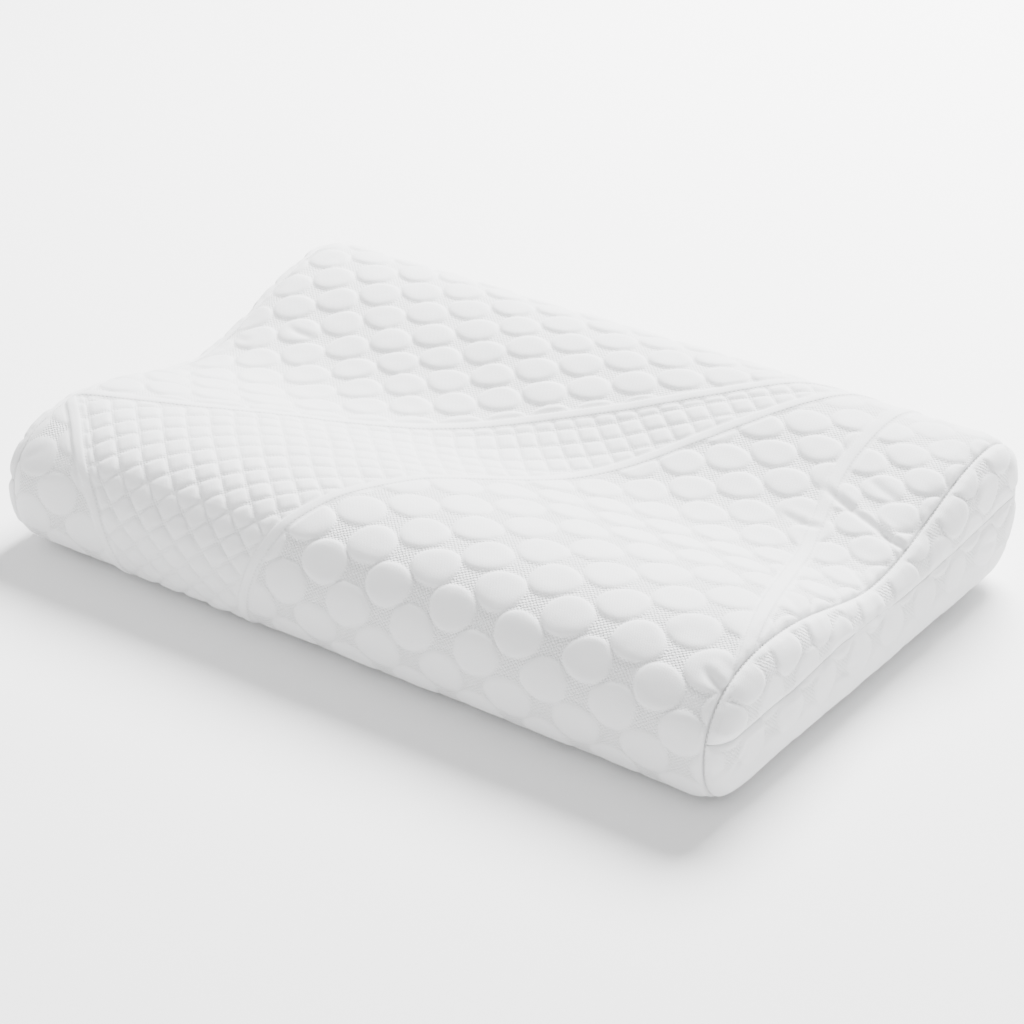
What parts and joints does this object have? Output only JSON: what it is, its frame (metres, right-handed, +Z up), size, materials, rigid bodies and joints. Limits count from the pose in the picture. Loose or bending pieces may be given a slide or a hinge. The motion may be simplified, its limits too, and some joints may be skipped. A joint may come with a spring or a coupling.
{
  "type": "bed pillow",
  "caption": "Contour foam bed pillow with a low and a high lobe, a hollow for the head and a zipped quilted knit cover.",
  "frame": {"origin": "middle of the flat base, halfway along the pillow and halfway between its front and back faces", "axes": "+X along the pillow, +Y from the low lobe at the front to the high lobe and zip at the back, +Z up"},
  "size_m": [0.6, 0.3883, 0.111],
  "materials": {
    "cover_knit": "matte",
    "liner_knit": "matte",
    "foam": "matte",
    "thread": "satin",
    "zip_tape": "matte",
    "zip_coil": "satin",
    "zip_metal": "satin",
    "label": "satin"
  },
  "bodies": {
    "pillow": {"foam_core": "foam", "liner_sleeve": "liner_knit", "liner_end_left": "liner_knit", "liner_end_right": "liner_knit", "top_panel": "cover_knit", "bottom_panel": "cover_knit", "end_upper_left": "cover_knit", "end_upper_right": "cover_knit", "end_lower_left": "cover_knit", "end_lower_right": "cover_knit", "rim_thread_left": "thread", "rim_thread_right": "thread", "cross_thread_left": "thread", "cross_thread_right": "thread", "base_thread": "thread", "zip_tape_upper": "zip_tape", "zip_tape_lower": "zip_tape", "zip_coil_upper": "zip_coil", "zip_coil_lower": "zip_coil", "zip_stop_upper": "zip_metal", "zip_stop_lower": "zip_metal", "zip_stop_closed": "zip_metal", "care_label": "label"},
    "slider": {"zip_slider": "zip_metal"},
    "pull": {"zip_pull_tab": "zip_metal"}
  },
  "joints": [
    {"name": "zip_slide", "type": "slide", "parent": "pillow", "child": "slider", "axis": [-1, 0, 0], "range_m": [0, 0.48]},
    {"name": "pull_swing", "type": "hinge", "parent": "slider", "child": "pull", "pos_m": [0.241, 0.1942, 0.064], "axis": [1, 0, 0], "range_deg": [0, 180]}
  ]
}
